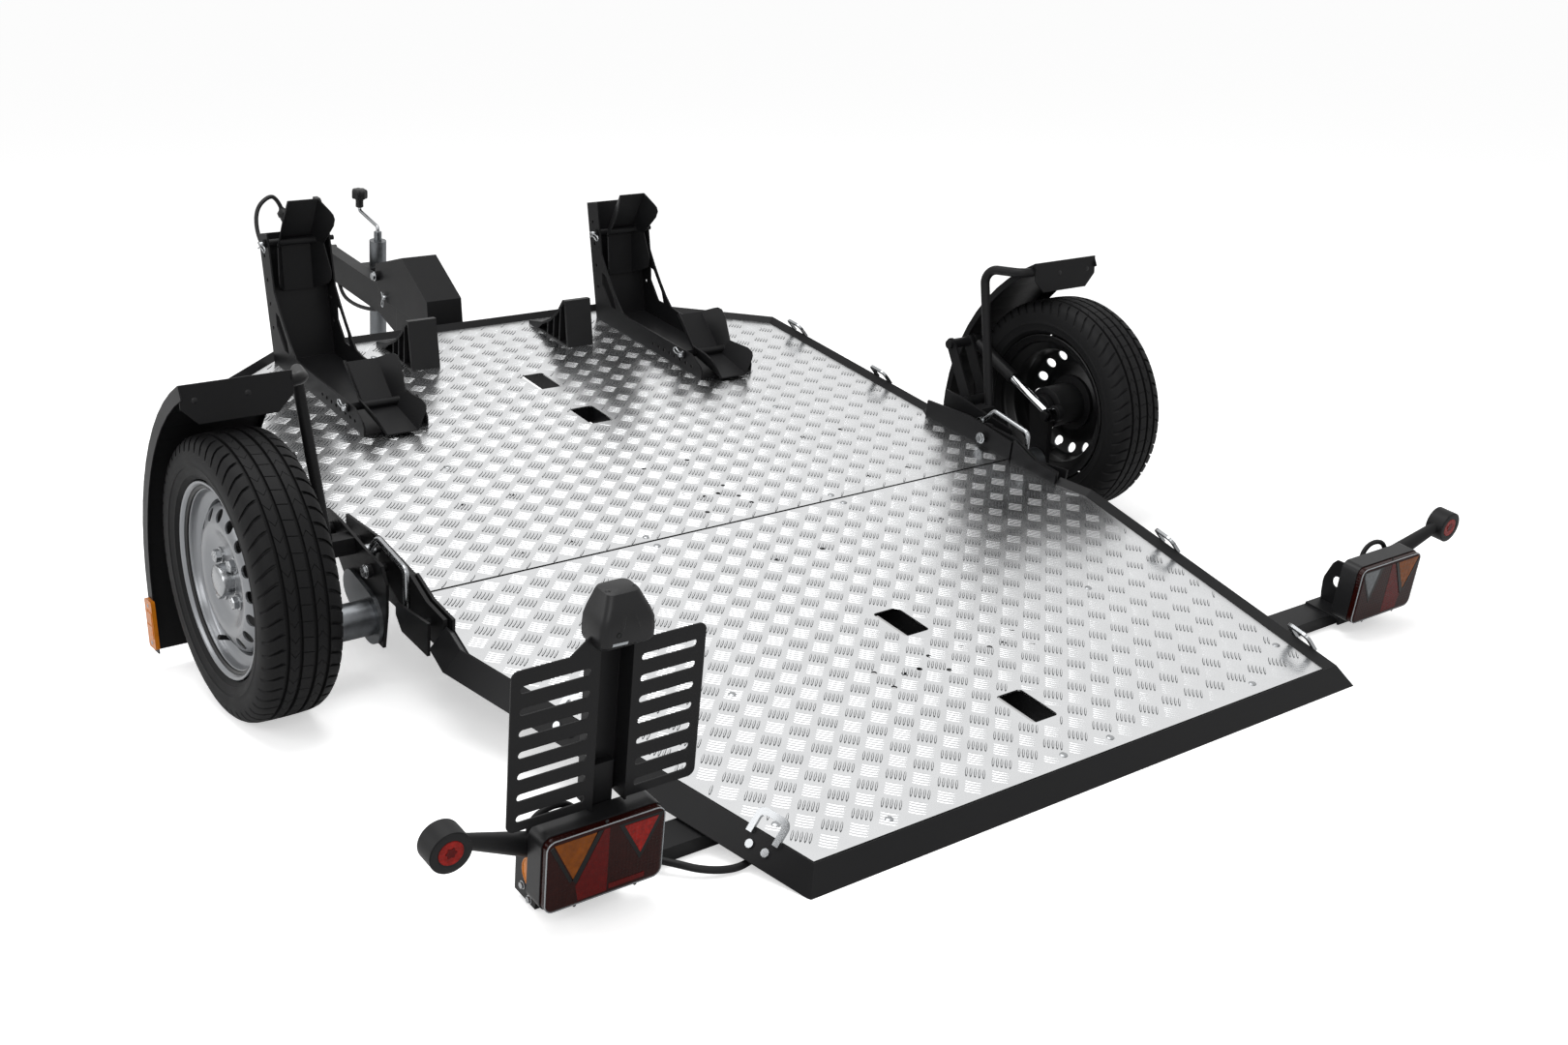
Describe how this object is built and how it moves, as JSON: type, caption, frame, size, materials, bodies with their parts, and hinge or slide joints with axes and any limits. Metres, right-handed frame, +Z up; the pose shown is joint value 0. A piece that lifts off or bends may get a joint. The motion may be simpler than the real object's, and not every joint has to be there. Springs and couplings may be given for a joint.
{
  "type": "motorcycle trailer",
  "caption": "Low folding motorcycle trailer with a tipping tread plate deck, wheel chocks, swing arm axle, mudguards, lamp arms and a folding drawbar with a jack",
  "frame": {"origin": "on the ground under the middle of the rear lip's edge", "axes": "+X towards the coupling, +Y to the trailer's left, +Z up"},
  "size_m": [3.3852, 2.36, 0.7699],
  "materials": {
    "dark_coat": "satin dark grey powder coat on folded steel",
    "tread_aluminium": "bright rolled tread plate",
    "galvanised": "hot dip galvanised steel",
    "zinc": "bright zinc plated steel",
    "chrome": "ground and plated rod",
    "rim_silver": "silver painted steel wheel",
    "tyre": "moulded tread rubber",
    "cast": "dark coated casting",
    "black_rubber": "moulded rubber",
    "black_plastic": "moulded plastic",
    "lamp_lens": "clear and coloured moulded lens",
    "amber": "amber reflector"
  },
  "bodies": {
    "front_deck": {"front_frame": "dark_coat", "front_tread_plate": "tread_aluminium", "drawbar_socket": "dark_coat", "hinge_cover": "dark_coat", "wedge_blocks": "black_plastic", "side_reflectors": "amber", "lashing_loops_front": "zinc", "fold_bracket_left": "dark_coat", "fold_bracket_right": "dark_coat", "axle_tube_left": "galvanised", "axle_tube_right": "galvanised", "side_mast_left": "dark_coat", "side_mast_right": "dark_coat", "mudguard_left": "dark_coat", "mudguard_right": "dark_coat", "chock_base_left": "dark_coat", "chock_base_right": "dark_coat"},
    "rear_deck": {"rear_frame": "dark_coat", "rear_tread_plate": "tread_aluminium", "plate_holder": "dark_coat", "plate_lamp": "black_plastic", "lashing_loops_rear": "zinc", "round_reflectors": "amber", "fold_hinge_plate_left": "dark_coat", "fold_hinge_plate_right": "dark_coat", "lamp_arm_left": "dark_coat", "lamp_arm_right": "dark_coat", "rear_lamp_body_left": "black_plastic", "rear_lamp_body_right": "black_plastic", "rear_lamp_lens_left": "lamp_lens", "rear_lamp_lens_right": "lamp_lens", "marker_lamp_left": "black_rubber", "marker_lamp_right": "black_rubber"},
    "drawbar": {"drawbar": "dark_coat", "coupling_head": "cast", "jack_tube": "galvanised"},
    "coupling_handle": {"coupling_handle": "black_plastic"},
    "jack_crank": {"jack_crank": "zinc", "crank_knob": "black_plastic"},
    "jack_leg": {"jack_leg": "galvanised"},
    "latch_left": {"fold_latch_left": "zinc"},
    "arm_left": {"swing_arm_left": "dark_coat"},
    "wheel_left": {"tyre_left": "tyre", "wheel_rim_left": "rim_silver", "wheel_hub_left": "cast"},
    "damper_top_left": {"damper_barrel_left": "dark_coat"},
    "damper_low_left": {"damper_rod_left": "chrome"},
    "low_cradle_left": {"lower_cradle_left": "dark_coat"},
    "high_cradle_left": {"upper_cradle_left": "dark_coat"},
    "latch_right": {"fold_latch_right": "zinc"},
    "arm_right": {"swing_arm_right": "dark_coat"},
    "wheel_right": {"tyre_right": "tyre", "wheel_rim_right": "rim_silver", "wheel_hub_right": "cast"},
    "damper_top_right": {"damper_barrel_right": "dark_coat"},
    "damper_low_right": {"damper_rod_right": "chrome"},
    "low_cradle_right": {"lower_cradle_right": "dark_coat"},
    "high_cradle_right": {"upper_cradle_right": "dark_coat"}
  },
  "joints": [
    {"name": "deck_fold", "type": "hinge", "parent": "front_deck", "child": "rear_deck", "pos_m": [1.13057, 0, 0.22408], "axis": [0, 1, 0], "range_deg": [0, 90]},
    {"name": "drawbar_fold", "type": "hinge", "parent": "front_deck", "child": "drawbar", "pos_m": [2.69428, 0, 0.47681], "axis": [0, -1, 0], "range_deg": [0, 90]},
    {"name": "coupling_grip", "type": "hinge", "parent": "drawbar", "child": "coupling_handle", "pos_m": [3.23587, 0, 0.52209], "axis": [0, -1, 0], "range_deg": [0, 35], "stiffness_Nm_per_rad": 2, "springref_deg": -17.19},
    {"name": "jack_turn", "type": "hinge", "parent": "drawbar", "child": "jack_crank", "pos_m": [2.95515, -0.072, 0.49181], "axis": [-0.1564, 0, 0.9877], "range_deg": [0, 10800]},
    {"name": "jack_lift", "type": "slide", "parent": "drawbar", "child": "jack_leg", "axis": [-0.1564, 0, 0.9877], "range_m": [0, 0.18]},
    {"name": "latch_lift_left", "type": "hinge", "parent": "front_deck", "child": "latch_left", "pos_m": [1.17137, 0.788, 0.24776], "axis": [0, 1, 0], "range_deg": [0, 60]},
    {"name": "arm_swing_left", "type": "hinge", "parent": "front_deck", "child": "arm_left", "pos_m": [1.14, 0.95, 0.13], "axis": [0, 1, 0], "range_deg": [-5, 5], "stiffness_Nm_per_rad": 1500},
    {"name": "wheel_spin_left", "type": "hinge", "parent": "arm_left", "child": "wheel_left", "pos_m": [1.14, 1.03, 0.262], "axis": [0, 1, 0], "continuous": true},
    {"name": "damper_tilt_left", "type": "hinge", "parent": "front_deck", "child": "damper_top_left", "pos_m": [1.358, 0.936, 0.398], "axis": [0, 1, 0], "range_deg": [-2, 2]},
    {"name": "damper_stroke_left", "type": "slide", "parent": "damper_top_left", "child": "damper_low_left", "axis": [0.8863, 0, 0.4631], "range_m": [-0.02, 0.02]},
    {"name": "low_cradle_rock_left", "type": "hinge", "parent": "front_deck", "child": "low_cradle_left", "pos_m": [1.83114, 0.452, 0.35226], "axis": [0, 1, 0], "range_deg": [0, 20]},
    {"name": "high_cradle_rock_left", "type": "hinge", "parent": "front_deck", "child": "high_cradle_left", "pos_m": [2.24242, 0.452, 0.6669], "axis": [0, 1, 0], "range_deg": [0, 20]},
    {"name": "latch_lift_right", "type": "hinge", "parent": "front_deck", "child": "latch_right", "pos_m": [1.17137, -0.788, 0.24776], "axis": [0, 1, 0], "range_deg": [0, 60]},
    {"name": "arm_swing_right", "type": "hinge", "parent": "front_deck", "child": "arm_right", "pos_m": [1.14, -0.95, 0.13], "axis": [0, 1, 0], "range_deg": [-5, 5], "stiffness_Nm_per_rad": 1500},
    {"name": "wheel_spin_right", "type": "hinge", "parent": "arm_right", "child": "wheel_right", "pos_m": [1.14, -1.03, 0.262], "axis": [0, 1, 0], "continuous": true},
    {"name": "damper_tilt_right", "type": "hinge", "parent": "front_deck", "child": "damper_top_right", "pos_m": [1.358, -0.936, 0.398], "axis": [0, 1, 0], "range_deg": [-2, 2]},
    {"name": "damper_stroke_right", "type": "slide", "parent": "damper_top_right", "child": "damper_low_right", "axis": [0.8863, 0, 0.4631], "range_m": [-0.02, 0.02]},
    {"name": "low_cradle_rock_right", "type": "hinge", "parent": "front_deck", "child": "low_cradle_right", "pos_m": [1.83114, -0.452, 0.35226], "axis": [0, 1, 0], "range_deg": [0, 20]},
    {"name": "high_cradle_rock_right", "type": "hinge", "parent": "front_deck", "child": "high_cradle_right", "pos_m": [2.23696, -0.452, 0.61017], "axis": [0, 1, 0], "range_deg": [0, 20]}
  ],
  "couplings": [
    {"joint": "jack_lift", "follows": "jack_turn", "m_per_rad": 0.00095493},
    {"joint": "damper_tilt_left", "follows": "arm_swing_left", "ratio": -0.05732},
    {"joint": "damper_stroke_left", "follows": "arm_swing_left", "m_per_rad": 0.13656},
    {"joint": "damper_tilt_right", "follows": "arm_swing_right", "ratio": -0.05732},
    {"joint": "damper_stroke_right", "follows": "arm_swing_right", "m_per_rad": 0.13656}
  ]
}
